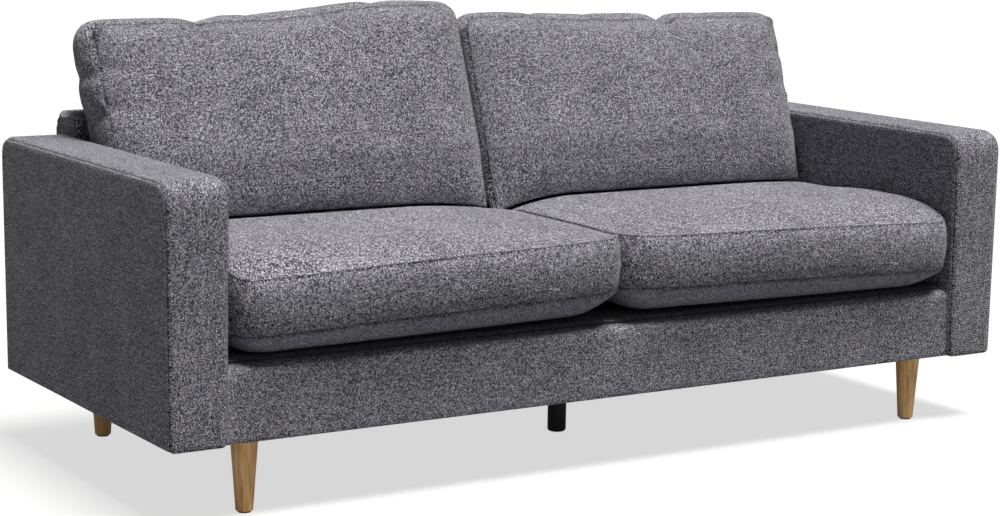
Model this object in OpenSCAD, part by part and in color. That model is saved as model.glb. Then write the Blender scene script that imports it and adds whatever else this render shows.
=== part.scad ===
// Two-seat sofa with loose seat and back cushions, upholstered track arms and tapered wooden legs.
// X runs across the sofa, -Y is the front and Z is up. The origin is on the floor, under the middle.
// Left is the -X side, seen from the front.

/* [Overall] */
// Width across both arms
sofa_w = 2040; // [1840:20:2240]
// Depth of the arms, front to rear
sofa_d = 855; // [835:5:885]
// Height of the underside of the upholstery above the floor
leg_h = 150; // [120:5:180]
// Height of the top of the arms
arm_top = 655; // [620:5:690]
// Height of the top of the back frame
back_top = 705; // [690:5:740]

/* [Arms] */
// Width of each arm
arm_w = 123; // [115:1:160]
// Radius of an arm's two top corners, seen from the side
arm_round = 48; // [30:1:70]

/* [Upholstery] */
// Thickness of the cover fabric with its backing
cover_t = 2; // [1.5:0.1:2.5]
// Thickness of the foam on the arms
foam_t = 10; // [8:1:14]
// Thickness of the foam on the front rail and on top of the back
edge_foam_t = 12; // [10:1:14]
// Thickness of the foam on the inside of the back
back_foam_t = 20; // [16:1:24]

/* [Frame] */
// Height of the seat rails
rail_h = 132; // [120:1:140]
// Thickness of the seat rails
rail_t = 28; // [24:1:32]
// How far the front rail's cover stands behind the arm fronts
rail_recess = 9; // [4:1:16]
// Thickness of the arm panels
panel_t = 9; // [6:1:12]
// Lean of the inside of the back from the vertical, in degrees
back_lean = 15.8; // [12:0.2:18]
// Number of seat springs
spring_count = 10; // [6:2:12]
// Number of back straps
strap_count = 8; // [4:1:10]

/* [Legs] */
// Diameter of a leg where it meets the frame
leg_top_d = 55; // [44:1:60]
// Diameter of a leg at its foot
leg_foot_d = 34; // [26:1:40]
// Distance of a leg's centre from the end of the seat frame
leg_inset_x = 62.5; // [50:0.5:70]
// Distance of a front leg's centre from the front of the arms
leg_inset_front = 68.5; // [64:0.5:80]
// Distance of a rear leg's centre from the rear of the sofa
leg_inset_rear = 81.5; // [70:0.5:90]
// Diameter of the plain leg under the middle of the seat
centre_leg_d = 41; // [30:1:50]

/* [Seat cushions] */
// Thickness of a seat cushion at its crown
seat_h = 184; // [150:1:200]
// How far a seat cushion's front stands past the arm fronts at its crown
seat_overhang = 19; // [0:1:40]
// Gap between the two seat cushions
seat_gap = 3; // [2:0.5:10]
// Gap between a seat cushion and the arm
arm_gap = 4; // [2:0.5:10]

/* [Back cushions] */
// Lean of the back cushions from the vertical, in degrees
cushion_lean = 20.6; // [18:0.2:23]
// Length of a back cushion along its lean, at its crown
back_cushion_l = 438; // [400:1:460]
// Thickness of a back cushion at its crown
back_cushion_t = 160; // [130:1:166]
// Gap between the two back cushions
back_gap = 5; // [3:0.5:20]

/* [Zips] */
// Length of the zip in each loose cover
zip_l = 500; // [300:10:560]

/* [Hidden] */
$fn = 48;
join = 0.5;            // slack left where separately upholstered parts are bolted together
skin = 0.2;            // slack between a layer of upholstery and the one under it
loose = 0.2;           // radial clearance of a fastener in its hole
cut = 1;               // how far a cutting shape runs past what it cuts

// Heights, from the floor up
base_z = leg_h;
wood_z = base_z + cover_t;
rail_top = wood_z + rail_h;
dust_t = 1;
leg_seat_z = wood_z - dust_t;
front_top = rail_top + edge_foam_t + 2 * cover_t;
clip_t = 1.2;
wire_d = 3.8;
spring_z = rail_top + clip_t + wire_d / 2 + 0.4;
tie_d = 3;
tie_z = spring_z + wire_d / 2 + tie_d / 2 + loose;
deck_z = rail_top + 20.5;
pad_z = tie_z + tie_d / 2 + loose;
cushion_z = deck_z + 1;

// Places across the sofa
arm_in = sofa_w / 2 - arm_w;
base_x = arm_in - join;
side_rail_t = 25;
side_x = base_x - side_rail_t;
leg_x = base_x - leg_inset_x;

// Places from front to rear
arm_y = sofa_d / 2;
rail_face_y = -arm_y + rail_recess;
rail_y = rail_face_y + cover_t + edge_foam_t;
rail_back_y = rail_y + rail_t;
flap_y = rail_back_y - 20;     // rear edge of the front rail's foam and cover
deck_y = flap_y + join;
board_t = 4;
rear_y = arm_y - cover_t - board_t;
rear_rail_y = rear_y - rail_t;
leg_front_y = -arm_y + leg_inset_front;
leg_rear_y = arm_y - leg_inset_rear;
wrap = 30;             // fabric turned under the frame

// Leg fixings
plate = [100, 95, 20];
bolt_d = 8;
bolt_below = 40;
bolt_above = 29;
nut_flange_d = 22;
nut_flange_t = 1.5;
nut_barrel_d = 10;
nut_barrel_l = 8;
glide_d = 26;
glide_t = 4;
nail_d = 3;
nail_l = 14;
centre_rail_t = 26;
centre_rail_h = 80;
centre_leg_x = centre_rail_t / 2 + plate[0] / 2;
centre_leg_y = -82;
leg_places = [for (x = [-1, 1], y = [leg_front_y, leg_rear_y]) [x * leg_x, y]];
fixing_places = concat(leg_places, [[centre_leg_x, centre_leg_y]]);

// Screws that hold the arms to the seat frame
screw_d = 8;
screw_l = 80;
screw_head_d = 16;
screw_head_t = 5;
screw_z = wood_z + 25;
screw_ys = [for (i = [-1:1]) 10 + i * 200];

// Arm frame
arm_post = 35;
arm_top_rail = 32;
arm_foot_rail = 50;
arm_core = foam_t + cover_t;   // from the cover's face to the panel

// Back frame
back_foot_y = arm_y - 220.5;
back_round = 18;
back_open_z = deck_z + 2;
tuck = 15;             // how far the inside cover turns down below the rounded rear edge
outside_top = back_top - back_round - tuck;
strap_t = 1.8;
back_wood = back_foam_t + cover_t + strap_t + skin;
top_rail_h = 28;
top_slack = 1;         // keeps the rail's square edge out of the foam's round one
top_rail_z = back_top - edge_foam_t - cover_t - top_slack - top_rail_h;
liner_z = deck_z + 10;
liner_h = 40;
liner_t = 26;
post_t = 28;
post_front_z = deck_z + 4;
strap_w = 60;
strap_top_z = top_rail_z + top_rail_h - 4;

// Springs
spring_pitch = 2 * (base_x - 26.5) / spring_count;
spring_half_w = 22;
spring_front_y = rail_back_y - 15;
spring_rear_y = rear_rail_y + 7;
spring_bars = 34;      // an even number, so both ends leave on the same side
bar_pitch = (spring_rear_y - spring_front_y) / (spring_bars - 1);
spring_xs = [for (i = [0:spring_count - 1]) (i - (spring_count - 1) / 2) * spring_pitch];
clip_w = 2 * spring_half_w - 8;
clip_depth = 14;

// Loose cushions, as half sizes across, along and through
seat_front_y = -arm_y - seat_overhang;
seat_rear_y = back_foot_y - 9;
seat_half = [(2 * arm_in - seat_gap - 2 * arm_gap) / 4, (seat_rear_y - seat_front_y) / 2, seat_h / 2];
seat_at = [seat_gap / 2 + seat_half[0], (seat_rear_y + seat_front_y) / 2, cushion_z + seat_half[2]];
back_half = [(2 * arm_in - back_gap - 4 * arm_gap) / 4, back_cushion_l / 2, back_cushion_t / 2];
back_low_z = cushion_z + seat_h + 1.5;   // lowest point of a back cushion's centre line
back_low_y = back_foot_y - 56;
back_at = [
    back_gap / 2 + back_half[0],
    back_low_y + back_half[1] * sin(cushion_lean),
    back_low_z + back_half[1] * cos(cushion_lean)
];
cushion_cover_t = 2.5;
fill_slack = 0.4;
pillow_sides = 24;
pillow_rings = 10;
plan_power = 14;
side_power = 4.8;

// Zip, measured inwards from the face of the cushion
zip_depth = cushion_cover_t + 0.7;
tape_w = 34;
tape_t = 1;
chain_w = 6;
chain_t = 2;
slot_w = 24;
slider = [12, 3.7, 10];
slider_clear = 0.4;
slider_at = zip_l / 2 - 12;

// ---- Helpers ----

// Points along an arc, from one angle to the other
function arc(centre, r, from, to, steps = 6) =
    [for (i = [0:steps]) let (t = from + (to - from) * i / steps) centre + r * [cos(t), sin(t)]];

// Y of the inside of the back at a height, at a depth below its cover
function back_y(z, depth) = back_foot_y + (z - deck_z) * tan(back_lean) + depth / cos(back_lean);

// A value from -1 to 1 squared off: the higher the power, the flatter the sides it gives
function squared(v, power) = sign(v) * pow(abs(v), 2 / power);

// Draws a Y-Z outline and extrudes it across X, from x0 to x1
module across(x0, x1) {
    translate([x0, 0, 0]) rotate([90, 0, 90]) linear_extrude(x1 - x0) children();
}

// A box between two opposite corners
module block(low, high) {
    translate(low) cube(high - low);
}

// A round bar along X
module cross_bar(d, x0, x1) {
    translate([x0, 0, 0]) rotate([0, 90, 0]) cylinder(d = d, h = x1 - x0);
}

// Keeps the left-hand shape, or mirrors it to the right
module on_side(side) {
    if (side < 0) children();
    else mirror([1, 0, 0]) children();
}

// A closed cushion shape with flat middles and rounded edges
module pillow(half) {
    flat_plan = squared(cos(180 / pillow_sides), plan_power);
    flat_side = squared(cos(90 / pillow_rings), side_power);
    outline = [for (i = [0:pillow_sides - 1]) let (t = (i + 0.5) * 360 / pillow_sides)
        [half[0] * squared(cos(t), plan_power), half[1] * squared(sin(t), plan_power)] / flat_plan];
    levels = [for (j = [0:pillow_rings - 1]) let (t = -90 + (j + 0.5) * 180 / pillow_rings)
        [squared(cos(t), side_power), half[2] * squared(sin(t), side_power)] / flat_side];
    points = [for (level = levels, p = outline) [p[0] * level[0], p[1] * level[0], level[1]]];
    walls = [for (j = [0:pillow_rings - 2], i = [0:pillow_sides - 1])
        let (low = j * pillow_sides, high = low + pillow_sides, k = (i + 1) % pillow_sides)
        [low + i, high + i, high + k, low + k]];
    bottom = [for (i = [0:pillow_sides - 1]) i];
    top = [for (i = [pillow_sides - 1:-1:0]) (pillow_rings - 1) * pillow_sides + i];
    polyhedron(points, concat(walls, [bottom, top]));
}

function smaller(half, by) = [for (h = half) h - by];

// ---- Seat frame ----

module front_seat_rail() {
    color("burlywood") block([-base_x, rail_y, wood_z], [base_x, rail_back_y, rail_top]);
}

module rear_seat_rail() {
    color("burlywood") block([-base_x, rear_rail_y, wood_z], [base_x, rear_y, rail_top]);
}

module side_seat_rail(side) {
    color("burlywood") on_side(side) difference() {
        block([-base_x, rail_back_y, wood_z], [-side_x, rear_rail_y, rail_top]);
        for (y = screw_ys)
            translate([0, y, screw_z]) cross_bar(screw_d + 2 * loose, -base_x - cut, -side_x + cut);
    }
}

module centre_seat_rail() {
    color("burlywood") block(
        [-centre_rail_t / 2, rail_back_y, wood_z],
        [centre_rail_t / 2, rear_rail_y, wood_z + centre_rail_h]);
}

module corner_blocks() {
    size = 90;
    block_z = wood_z + 55;
    block_h = 60;
    color("tan") for (x = [-1, 1], end = [[rail_back_y, 1], [rear_rail_y, -1]])
        translate([0, 0, block_z]) linear_extrude(block_h) polygon([
            [x * side_x, end[0]],
            [x * (side_x - size), end[0]],
            [x * side_x, end[0] + end[1] * size]
        ]);
}

// A plywood plate that carries a leg, with the hole for its nut
module fixing_plate(low, at) {
    difference() {
        block(low, low + plate);
        translate([at[0], at[1], wood_z - cut]) cylinder(d = bolt_d + 2 * loose, h = plate[2] + 2 * cut);
        translate([at[0], at[1], wood_z + plate[2] - nut_barrel_l])
            cylinder(d = nut_barrel_d, h = nut_barrel_l + cut);
    }
}

module leg_plates() {
    color("wheat") for (at = leg_places) {
        low_x = at[0] < 0 ? -side_x : side_x - plate[0];
        low_y = at[1] < 0 ? rail_back_y : rear_rail_y - plate[1];
        fixing_plate([low_x, low_y, wood_z], at);
    }
}

module centre_leg_block() {
    color("wheat") fixing_plate(
        [centre_rail_t / 2, centre_leg_y - plate[1] / 2, wood_z],
        [centre_leg_x, centre_leg_y]);
}

module leg_t_nuts() {
    color("silver") for (at = fixing_places)
        translate([at[0], at[1], wood_z + plate[2]]) difference() {
            union() {
                cylinder(d = nut_flange_d, h = nut_flange_t);
                translate([0, 0, -nut_barrel_l]) cylinder(d = nut_barrel_d, h = nut_barrel_l + nut_flange_t);
            }
            translate([0, 0, -nut_barrel_l - cut])
                cylinder(d = bolt_d + 2 * loose, h = nut_barrel_l + nut_flange_t + 2 * cut);
        }
}

module leg_bolts() {
    color("silver") for (at = fixing_places)
        translate([at[0], at[1], leg_seat_z - bolt_below]) cylinder(d = bolt_d, h = bolt_below + bolt_above);
}

// ---- Legs ----

module bolt_hole() {
    translate([0, 0, leg_seat_z - bolt_below - cut])
        cylinder(d = bolt_d + 2 * loose, h = bolt_below + 2 * cut);
}

module leg(at) {
    color("peru") translate([at[0], at[1], 0]) difference() {
        translate([0, 0, glide_t]) cylinder(d1 = leg_foot_d, d2 = leg_top_d, h = leg_seat_z - glide_t);
        bolt_hole();
        translate([0, 0, glide_t - cut]) cylinder(d = nail_d + 2 * loose, h = nail_l + 2 * cut);
    }
}

module leg_glides() {
    color("gray") for (at = leg_places) translate([at[0], at[1], 0]) {
        cylinder(d = glide_d, h = glide_t);
        cylinder(d = nail_d, h = glide_t + nail_l);
    }
}

module centre_leg() {
    foot_round = 6;
    r = centre_leg_d / 2;
    color("black") translate([centre_leg_x, centre_leg_y, 0]) difference() {
        rotate_extrude() polygon(concat(
            [[0, 0]],
            arc([r - foot_round, foot_round], foot_round, -90, 0),
            [[r, leg_seat_z], [0, leg_seat_z]]));
        bolt_hole();
    }
}

// ---- Suspension of the seat ----

// Outline of a wire bent to and fro: bars across X, joined at alternate ends
function wave_path() = [for (k = [0:spring_bars - 1], s = [-1, 1])
    [(k % 2 == 0 ? s : -s) * spring_half_w, spring_front_y + k * bar_pitch]];
function unit_normal(a, b) = [a[1] - b[1], b[0] - a[0]] / norm(b - a);
function mitre(path, i) = i == 0 ? unit_normal(path[0], path[1])
    : i == len(path) - 1 ? unit_normal(path[i - 1], path[i])
    : unit_normal(path[i - 1], path[i]) + unit_normal(path[i], path[i + 1]);

module seat_springs() {
    path = wave_path();
    last = len(path) - 1;
    outline = concat(
        [for (i = [0:last]) path[i] + wire_d / 2 * mitre(path, i)],
        [for (i = [last:-1:0]) path[i] - wire_d / 2 * mitre(path, i)]);
    color("dimgray") for (x = spring_xs)
        translate([x, 0, spring_z - wire_d / 2]) linear_extrude(wire_d) polygon(outline);
}

// A folded strap of steel that holds the last bar of a spring on its rail
module spring_clip(open) {
    inner = wire_d + 2 * loose;
    y0 = -open * clip_depth / 2;
    across(-clip_w / 2, clip_w / 2) difference() {
        translate([-clip_depth / 2, 0]) square([clip_depth, inner + 2 * clip_t]);
        translate([open > 0 ? y0 + clip_t : y0 - clip_depth - clip_t, clip_t]) square([clip_depth, inner]);
    }
}

module spring_clips() {
    color("lightgray") for (x = spring_xs, end = [[spring_front_y, 1], [spring_rear_y, -1]])
        translate([x, end[0] + end[1] * 3, rail_top]) spring_clip(end[1]);
}

module spring_tie_wires() {
    color("dimgray") for (y = [-200, 30, 260])
        translate([0, y, tie_z]) cross_bar(tie_d, -side_x, side_x);
}

module deck_pad() {
    color("lightgray") block([-base_x, deck_y, pad_z], [base_x, rear_rail_y - 3, deck_z - cover_t]);
}

module deck_cloth() {
    color("slategray") block([-base_x, deck_y, deck_z - cover_t], [base_x, rear_rail_y - 3, deck_z]);
}

// ---- Front rail upholstery ----

// Section of the front edge at a depth below the cover, with its rounded top edge
module front_edge(depth, low_z, rear) {
    r = 14 - depth;
    top = front_top - depth;
    polygon(concat(
        [[rear, low_z], [rail_face_y + depth, low_z]],
        arc([rail_face_y + depth + r, top - r], r, 180, 90),
        [[rear, top]]));
}

module front_rail_foam() {
    color("khaki") across(-base_x, base_x) difference() {
        front_edge(cover_t + skin, wood_z, flap_y);
        translate([rail_y - skin, wood_z - cut]) square([rail_t, rail_h + skin + cut]);
    }
}

module front_rail_cover() {
    color("slategray") across(-base_x, base_x) difference() {
        front_edge(0, base_z, flap_y);
        front_edge(cover_t, wood_z, flap_y + cut);
        translate([rail_face_y + wrap, base_z - cut]) square([rail_t + wrap, rail_h / 2]);
    }
}

module dust_cover() {
    color("black") difference() {
        block([-base_x, rail_face_y + wrap + 1, leg_seat_z], [base_x, rear_y, wood_z]);
        for (at = fixing_places)
            translate([at[0], at[1], leg_seat_z - cut]) cylinder(d = bolt_d + 2, h = dust_t + 2 * cut);
    }
}

// ---- Arms ----

// Side outline of an arm at a depth below its cover, with round top corners
module arm_side(depth, low_z) {
    y = arm_y - depth;
    r = arm_round - depth;
    top = arm_top - depth;
    polygon(concat(
        [[-y, low_z]],
        arc([-y + r, top - r], r, 180, 90),
        arc([y - r, top - r], r, 90, 0),
        [[y, low_z]]));
}

// Holes for the arm screws, through to x
module screw_holes(x) {
    for (y = screw_ys) translate([0, y, screw_z]) cross_bar(screw_d + 2 * loose, x, -arm_in + cut);
}

module arm_frame(side) {
    x0 = -sofa_w / 2 + arm_core + panel_t;
    x1 = -arm_in - arm_core - panel_t;
    y = arm_y - arm_core;
    top = arm_top - arm_core - arm_top_rail;
    foot = wood_z + arm_foot_rail;
    color("burlywood") on_side(side) difference() {
        across(x0, x1) arm_side(arm_core, wood_z);
        block([x0 - cut, -y + arm_post, foot], [x1 + cut, -arm_post / 2, top]);
        block([x0 - cut, arm_post / 2, foot], [x1 + cut, y - arm_post, top]);
        screw_holes(-base_x + side_rail_t - screw_l - cut);
    }
}

module arm_panel(side, x0) {
    color("tan") on_side(side) difference() {
        across(x0, x0 + panel_t) arm_side(arm_core, wood_z);
        if (x0 > -arm_in - arm_w / 2) screw_holes(x0 - cut);
    }
}

module arm_foam(side) {
    color("khaki") on_side(side) difference() {
        across(-sofa_w / 2 + cover_t + skin, -arm_in - cover_t - skin) arm_side(cover_t + skin, wood_z);
        across(-sofa_w / 2 + arm_core - skin, -arm_in - arm_core + skin)
            arm_side(arm_core - skin, wood_z - cut);
        screw_holes(-arm_in - arm_core - cut);
    }
}

module arm_cover(side) {
    color("slategray") on_side(side) difference() {
        across(-sofa_w / 2, -arm_in) arm_side(0, base_z);
        across(-sofa_w / 2 + cover_t, -arm_in - cover_t) arm_side(cover_t, wood_z);
        block([-sofa_w / 2 + wrap, -arm_y + wrap, base_z - cut], [-arm_in - wrap, arm_y - wrap, wood_z + cut]);
        screw_holes(-arm_in - cover_t - cut);
    }
}

module arm_screws() {
    color("silver") for (side = [-1, 1]) on_side(side)
        for (y = screw_ys) translate([-side_x, y, screw_z]) {
            cross_bar(screw_d, -screw_l, cut);
            cross_bar(screw_head_d, 0, screw_head_t);
        }
}

// ---- Back ----

// Section of the back, with its own depth below the cover at the front and at the top
module back_section(front, top, low_z, rear) {
    r = max(back_round - top, 2);
    z = back_top - top - r;
    polygon(concat(
        [[rear, low_z], [back_y(low_z, front), low_z]],
        arc([back_y(z, front) + r / cos(back_lean), z], r, 180 - back_lean, 90),
        arc([rear - r, z], r, 90, 0)));
}

// A slab that follows the lean of the back, between two depths and two heights
module leaning_slab(front, rear, z0, z1) {
    polygon([[back_y(z0, front), z0], [back_y(z1, front), z1], [back_y(z1, rear), z1], [back_y(z0, rear), z0]]);
}

module back_top_rail() {
    z = [top_rail_z, top_rail_z + top_rail_h];
    color("burlywood") across(-base_x + cover_t, base_x - cover_t) polygon([
        [back_y(z[0], back_wood), z[0]], [back_y(z[1], back_wood), z[1]], [rear_y, z[1]], [rear_y, z[0]]
    ]);
}

module liner_section() {
    leaning_slab(back_wood, back_wood + liner_t, liner_z, liner_z + liner_h);
}

module back_liner_rail() {
    color("burlywood") across(-base_x + cover_t, base_x - cover_t) liner_section();
}

module back_posts() {
    end_x = base_x - cover_t - post_t / 2;
    color("burlywood") for (x = [-end_x, 0, end_x])
        across(x - post_t / 2, x + post_t / 2) difference() {
            polygon([
                [rear_y, rail_top], [rear_y, top_rail_z],
                [back_y(top_rail_z, back_wood), top_rail_z],
                [back_y(post_front_z, back_wood), post_front_z],
                [rear_rail_y, post_front_z], [rear_rail_y, rail_top]
            ]);
            liner_section();
        }
}

module back_straps() {
    pitch = 2 * base_x / strap_count;
    color("dimgray") for (i = [0:strap_count - 1]) {
        x = (i - (strap_count - 1) / 2) * pitch;
        across(x - strap_w / 2, x + strap_w / 2)
            leaning_slab(back_wood - strap_t - skin / 2, back_wood - skin / 2, liner_z + 4, strap_top_z);
    }
}

module back_foam() {
    color("khaki") across(-base_x + cover_t + skin, base_x - cover_t - skin) difference() {
        back_section(cover_t + skin, cover_t + skin, back_open_z, rear_y);
        back_section(
            back_foam_t + cover_t, edge_foam_t + cover_t - skin, back_open_z - cut, rear_y + back_round);
    }
}

module back_cover() {
    color("slategray") difference() {
        across(-base_x, base_x) back_section(0, 0, back_open_z, arm_y);
        across(-base_x + cover_t, base_x - cover_t)
            back_section(cover_t, cover_t, back_open_z - cut, arm_y - cover_t);
        block([-base_x - cut, rear_y, back_open_z - cut], [base_x + cut, arm_y + cut, outside_top]);
    }
}

module outside_back_board() {
    color("tan") block([-base_x + cover_t, rear_y, wood_z], [base_x - cover_t, rear_y + board_t, outside_top]);
}

module outside_back_cover() {
    color("slategray") block([-base_x, rear_y + board_t, base_z], [base_x, arm_y, outside_top]);
}

// ---- Loose cushions, each drawn about its centre with its zip on the +Y face ----

module at_seat(side) {
    translate([side * seat_at[0], seat_at[1], seat_at[2]]) children();
}

// The zip of a back cushion is underneath, so the cushion is turned end for end
module at_back(side) {
    translate([side * back_at[0], back_at[1], back_at[2]])
        rotate([90 - cushion_lean, 0, 0]) rotate([0, 0, 180]) children();
}

module cushion_cover(half) {
    color("slategray") difference() {
        pillow(half);
        pillow(smaller(half, cushion_cover_t));
        block([-zip_l / 2, half[1] - zip_depth - cut, -slot_w / 2], [zip_l / 2, half[1] + cut, slot_w / 2]);
    }
}

module cushion_core(half) {
    color("white") difference() {
        pillow(smaller(half, cushion_cover_t + fill_slack));
        block(
            [-zip_l / 2 - tape_w / 2, half[1] - zip_depth - tape_t - fill_slack, -tape_w / 2 - cut],
            [zip_l / 2 + tape_w / 2, half[1], tape_w / 2 + cut]);
    }
}

module cushion_zip(half) {
    tape_y = half[1] - zip_depth;
    color("darkslategray") {
        block([-zip_l / 2 - 8, tape_y - tape_t, -tape_w / 2], [zip_l / 2 + 8, tape_y, tape_w / 2]);
        block([-zip_l / 2 + 4, tape_y - tape_t, -chain_w / 2], [zip_l / 2 - 4, tape_y + chain_t, chain_w / 2]);
    }
}

module zip_slider(half) {
    y = half[1] - zip_depth + slider_clear;
    color("silver") difference() {
        block(
            [slider_at - slider[0] / 2, y, -slider[2] / 2],
            [slider_at + slider[0] / 2, y + slider[1], slider[2] / 2]);
        block(
            [slider_at - slider[0] / 2 - cut, y - cut, -chain_w / 2 - slider_clear],
            [slider_at + slider[0] / 2 + cut, y + chain_t, chain_w / 2 + slider_clear]);
    }
}

front_seat_rail();
rear_seat_rail();
side_seat_rail(-1);  // left_seat_rail
side_seat_rail(1);  // right_seat_rail
centre_seat_rail();
corner_blocks();
leg_plates();
leg_t_nuts();
leg_bolts();
centre_leg_block();
centre_leg();
leg([-leg_x, leg_front_y]);  // front_left_leg
leg([leg_x, leg_front_y]);  // front_right_leg
leg([-leg_x, leg_rear_y]);  // rear_left_leg
leg([leg_x, leg_rear_y]);  // rear_right_leg
leg_glides();
seat_springs();
spring_clips();
spring_tie_wires();
deck_pad();
deck_cloth();
front_rail_foam();
front_rail_cover();
dust_cover();
arm_frame(-1);  // left_arm_frame
arm_frame(1);  // right_arm_frame
arm_panel(-1, -arm_in - arm_core - panel_t);  // left_arm_inner_panel
arm_panel(1, -arm_in - arm_core - panel_t);  // right_arm_inner_panel
arm_panel(-1, -sofa_w / 2 + arm_core);  // left_arm_outer_panel
arm_panel(1, -sofa_w / 2 + arm_core);  // right_arm_outer_panel
arm_foam(-1);  // left_arm_foam
arm_foam(1);  // right_arm_foam
arm_cover(-1);  // left_arm_cover
arm_cover(1);  // right_arm_cover
arm_screws();
back_top_rail();
back_liner_rail();
back_posts();
back_straps();
back_foam();
back_cover();
outside_back_board();
outside_back_cover();
at_seat(-1) cushion_cover(seat_half);  // left_seat_cover
at_seat(1) cushion_cover(seat_half);  // right_seat_cover
at_seat(-1) cushion_core(seat_half);  // left_seat_core
at_seat(1) cushion_core(seat_half);  // right_seat_core
at_seat(-1) cushion_zip(seat_half);  // left_seat_zip
at_seat(1) cushion_zip(seat_half);  // right_seat_zip
at_seat(-1) zip_slider(seat_half);  // left_seat_zip_slider
at_seat(1) zip_slider(seat_half);  // right_seat_zip_slider
at_back(-1) cushion_cover(back_half);  // left_back_cushion_cover
at_back(1) cushion_cover(back_half);  // right_back_cushion_cover
at_back(-1) cushion_core(back_half);  // left_back_filling
at_back(1) cushion_core(back_half);  // right_back_filling
at_back(-1) cushion_zip(back_half);  // left_back_zip
at_back(1) cushion_zip(back_half);  // right_back_zip
at_back(-1) zip_slider(back_half);  // left_back_zip_slider
at_back(1) zip_slider(back_half);  // right_back_zip_slider
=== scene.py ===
"""Looks for a two-seat sofa on wooden legs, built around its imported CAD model. Lengths are in metres."""

import math

import bpy
import numpy as np
from mathutils import Matrix, Vector


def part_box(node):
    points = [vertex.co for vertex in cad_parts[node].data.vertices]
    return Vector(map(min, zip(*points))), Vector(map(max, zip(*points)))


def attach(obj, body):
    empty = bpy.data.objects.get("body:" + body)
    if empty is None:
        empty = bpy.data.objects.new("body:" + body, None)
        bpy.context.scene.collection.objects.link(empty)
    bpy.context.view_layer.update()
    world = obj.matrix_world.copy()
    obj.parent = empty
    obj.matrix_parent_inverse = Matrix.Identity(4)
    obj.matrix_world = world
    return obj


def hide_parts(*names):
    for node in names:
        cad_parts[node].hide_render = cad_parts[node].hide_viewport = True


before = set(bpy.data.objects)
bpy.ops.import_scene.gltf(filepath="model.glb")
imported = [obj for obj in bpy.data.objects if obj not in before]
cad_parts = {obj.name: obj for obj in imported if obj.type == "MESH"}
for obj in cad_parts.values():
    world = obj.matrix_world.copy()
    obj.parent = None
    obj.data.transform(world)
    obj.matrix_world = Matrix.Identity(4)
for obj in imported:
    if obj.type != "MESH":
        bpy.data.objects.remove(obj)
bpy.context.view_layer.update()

# ---- Sizes that the looks need beyond the CAD model's own ----

CUSHION_LEAN = math.radians(20.6)
FRAME_LEAN = math.radians(15.8)
SEAM_DEPTH = 0.0028
CUSHION_SEAM_DEPTH = 0.0040
MAIN_STEP = 0.012       # the spacing of a cushion's points before it is subdivided
LONG_WEFT = 0.42        # stretches the slubs along the depth of a seat, by its inverse
CLEARANCE = 0.001       # between a back cushion and what it rests on


# ---- Camera, lights and floor ----

def make_camera():
    focal, sensor = 85.74, 36.0
    yaw, pitch, roll = math.radians(31.842), math.radians(9.321), math.radians(0.854)
    place = Vector((-2.7664, -4.3896, 1.2311))
    forward = Vector((
        math.sin(yaw) * math.cos(pitch), math.cos(yaw) * math.cos(pitch), -math.sin(pitch)))
    right = Vector((math.cos(yaw), -math.sin(yaw), 0))
    up = right.cross(forward)
    side = math.cos(roll) * right + math.sin(roll) * up
    top = -math.sin(roll) * right + math.cos(roll) * up
    data = bpy.data.cameras.new("camera")
    data.lens = focal
    data.sensor_width = sensor
    data.sensor_fit = "HORIZONTAL"
    data.clip_end = 100
    camera = bpy.data.objects.new("camera", data)
    camera.matrix_world = Matrix.Translation(place) @ Matrix((side, top, -forward)).transposed().to_4x4()
    bpy.context.scene.collection.objects.link(camera)
    bpy.context.scene.camera = camera


def make_world(seen, given):
    """A white surround, which is seen brighter than the light that it gives."""
    world = bpy.data.worlds.new("studio")
    world.use_nodes = True
    tree = world.node_tree
    background = tree.nodes["Background"]
    background.inputs["Color"].default_value = (0.95, 0.965, 1.0, 1)
    ray = tree.nodes.new("ShaderNodeLightPath")
    strength = tree.nodes.new("ShaderNodeMapRange")
    strength.inputs["To Min"].default_value = given
    strength.inputs["To Max"].default_value = seen
    tree.links.new(ray.outputs["Is Camera Ray"], strength.inputs["Value"])
    tree.links.new(strength.outputs[0], background.inputs["Strength"])
    bpy.context.scene.world = world


def make_studio():
    bpy.context.scene.view_settings.view_transform = "Standard"
    make_world(seen=1.06, given=0.14)
    softbox = bpy.data.lights.new("softbox", "SUN")
    softbox.energy = 5.9
    softbox.angle = math.radians(22)
    softbox.color = (1.0, 0.985, 0.95)
    light = bpy.data.objects.new("softbox", softbox)
    shining = Vector((-0.12, 0.22, -1.0))
    light.rotation_euler = shining.to_track_quat("-Z", "Y").to_euler()
    bpy.context.scene.collection.objects.link(light)
    bpy.ops.mesh.primitive_grid_add(x_subdivisions=8, y_subdivisions=8, size=60)
    floor = bpy.context.object
    floor.name = "floor"
    floor.data.materials.append(floor_look())


# ---- Node helpers ----

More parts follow.
